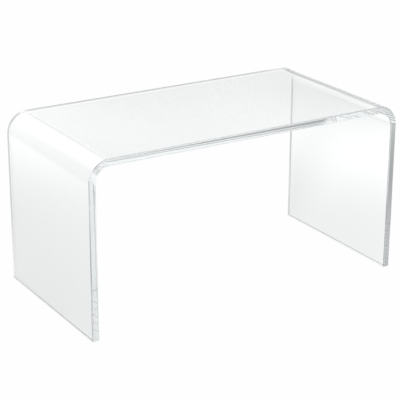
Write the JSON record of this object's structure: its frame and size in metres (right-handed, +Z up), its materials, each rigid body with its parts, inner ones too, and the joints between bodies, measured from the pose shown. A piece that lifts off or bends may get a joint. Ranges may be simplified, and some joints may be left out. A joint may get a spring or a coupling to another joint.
{
  "type": "waterfall coffee table",
  "caption": "Clear acrylic waterfall coffee table: a thick sheet bent down at each end into full-depth legs, with small clear pads under its bottom edges.",
  "frame": {"origin": "on the floor, under the middle of the table top", "axes": "+X along the length from one leg to the other, +Y from the front long edge to the back one, +Z up"},
  "size_m": [0.914, 0.457, 0.464],
  "materials": {
    "clear_acrylic": "polished",
    "clear_polyurethane": "satin",
    "adhesive_film": "matte"
  },
  "bodies": {
    "root": {"bent_sheet": "clear_acrylic", "foot_pad_front_left": "clear_polyurethane", "foot_pad_back_left": "clear_polyurethane", "foot_pad_front_right": "clear_polyurethane", "foot_pad_back_right": "clear_polyurethane", "pad_adhesive_front_left": "adhesive_film", "pad_adhesive_back_left": "adhesive_film", "pad_adhesive_front_right": "adhesive_film", "pad_adhesive_back_right": "adhesive_film"}
  },
  "joints": []
}
